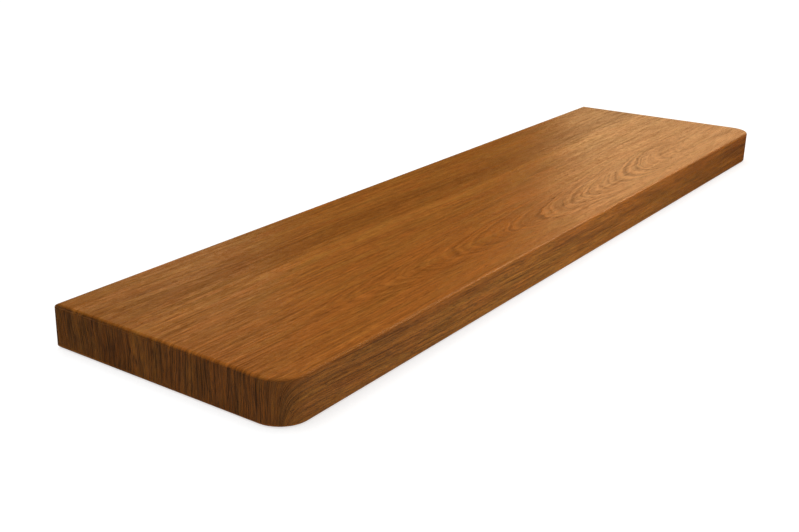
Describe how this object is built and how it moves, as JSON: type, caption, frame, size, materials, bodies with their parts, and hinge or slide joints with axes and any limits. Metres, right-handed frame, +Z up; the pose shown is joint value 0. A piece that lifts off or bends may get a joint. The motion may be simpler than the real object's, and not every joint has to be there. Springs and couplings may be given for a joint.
{
  "type": "window sill board",
  "caption": "Flat solid oak window sill board, long and straight, with rounded front corners and softly eased edges; caps the wall inside a window.",
  "frame": {"origin": "middle of the underside", "axes": "+X along the board's length, +Y towards the straight edge that meets the window frame, -Y towards the room and the rounded corners, +Z up"},
  "size_m": [1, 0.25, 0.04],
  "materials": {
    "oiled_oak": "satin oil, golden brown"
  },
  "bodies": {
    "root": {"sill_board": "oiled_oak"}
  },
  "joints": []
}
